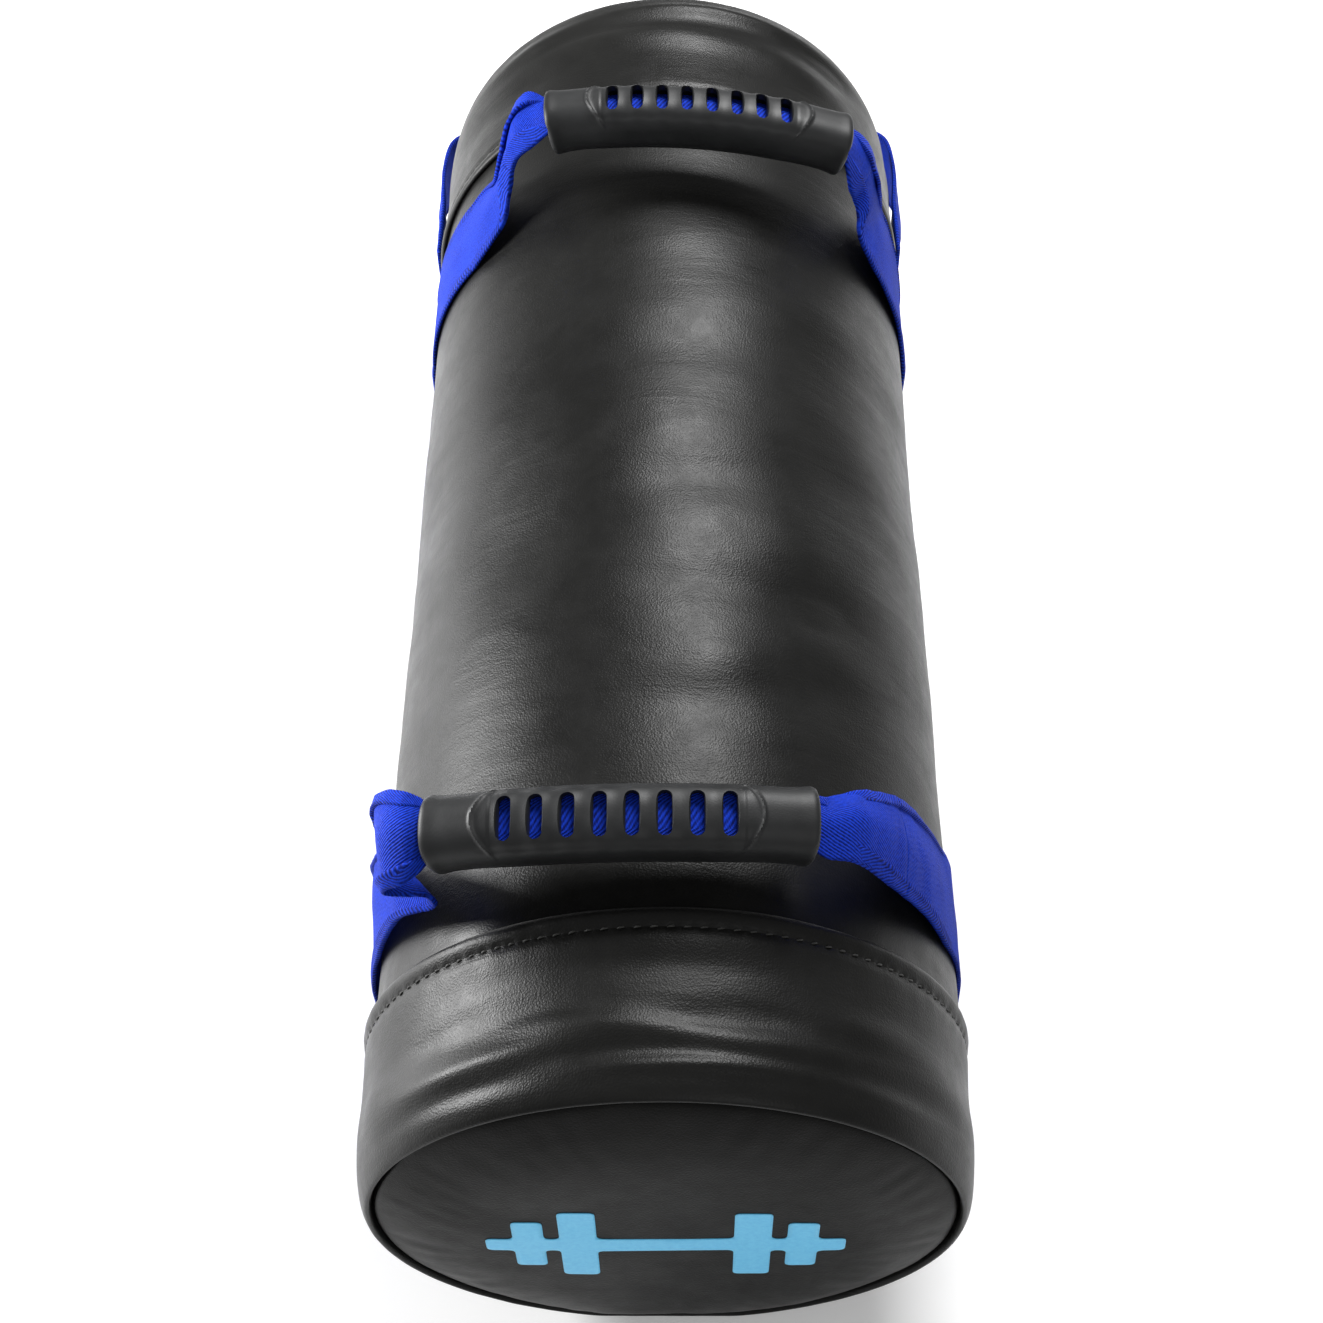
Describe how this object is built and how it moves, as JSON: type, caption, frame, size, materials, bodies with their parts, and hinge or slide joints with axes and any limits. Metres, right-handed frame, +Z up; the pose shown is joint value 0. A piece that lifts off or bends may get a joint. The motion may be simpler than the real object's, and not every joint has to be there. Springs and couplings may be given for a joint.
{
  "type": "weighted training bag",
  "caption": "Cylindrical sand-filled training bag lying on its side, with slotted hand grips on webbing loops over its top and behind its far end.",
  "frame": {"origin": "middle of the part's underside, on the surface that the bag lies on", "axes": "+Y along the bag from its marked near end to its far end with the end loop, +X to the right seen from the near end, +Z up through the top grips"},
  "size_m": [0.2158, 0.5649, 0.2316],
  "materials": {
    "coated_fabric": "satin",
    "seam_thread": "matte",
    "foam": "matte",
    "pouch_nylon": "matte",
    "sand": "matte",
    "print_ink": "satin",
    "webbing": "matte",
    "webbing_thread": "matte",
    "grip_plastic": "satin"
  },
  "bodies": {
    "bag": {"body_sleeve": "coated_fabric", "near_cap_sleeve": "coated_fabric", "far_cap_sleeve": "coated_fabric", "near_end_panel": "coated_fabric", "far_end_panel": "coated_fabric", "near_hem_thread": "seam_thread", "far_hem_thread": "seam_thread", "foam_liner": "foam", "near_end_foam": "foam", "far_end_foam": "foam", "filler_pouch": "pouch_nylon", "pouch_closing_disc": "pouch_nylon", "sand_filling": "sand", "barbell_mark": "print_ink", "near_girth_webbing": "webbing", "far_girth_webbing": "webbing", "near_right_box_stitch": "webbing_thread", "near_left_box_stitch": "webbing_thread", "far_right_box_stitch": "webbing_thread", "far_left_box_stitch": "webbing_thread", "end_right_webbing_tab": "webbing", "end_left_webbing_tab": "webbing"},
    "near_loop": {"near_loop_webbing": "webbing"},
    "near_grip_sleeve": {"near_grip": "grip_plastic"},
    "far_loop": {"far_loop_webbing": "webbing"},
    "far_grip_sleeve": {"far_grip": "grip_plastic"},
    "end_loop": {"end_loop_webbing": "webbing"},
    "end_grip_sleeve": {"end_grip": "grip_plastic"}
  },
  "joints": [
    {"name": "near_loop_swing", "type": "hinge", "parent": "bag", "child": "near_loop", "pos_m": [0, -0.1709, 0.109], "axis": [1, 0, 0], "range_deg": [-33, 7]},
    {"name": "near_grip_shift", "type": "hinge", "parent": "near_loop", "child": "near_grip_sleeve", "pos_m": [0, -0.14796, 0.00961], "axis": [0, 0.9744, 0.225], "range_deg": [0, 6.96]},
    {"name": "far_loop_swing", "type": "hinge", "parent": "bag", "child": "far_loop", "pos_m": [0, 0.1241, 0.109], "axis": [1, 0, 0], "range_deg": [-20, 20]},
    {"name": "far_grip_shift", "type": "hinge", "parent": "far_loop", "child": "far_grip_sleeve", "pos_m": [0, 0.1241, 0.007], "axis": [0, 1, 0], "range_deg": [-6.96, 0]},
    {"name": "end_loop_swing", "type": "hinge", "parent": "bag", "child": "end_loop", "pos_m": [0, 0.1866, 0.086], "axis": [1, 0, 0], "range_deg": [-20, 20]},
    {"name": "end_grip_shift", "type": "hinge", "parent": "end_loop", "child": "end_grip_sleeve", "pos_m": [0, 0.0576, 0.086], "axis": [0, 0, -1], "range_deg": [-3.48, 3.48]}
  ]
}
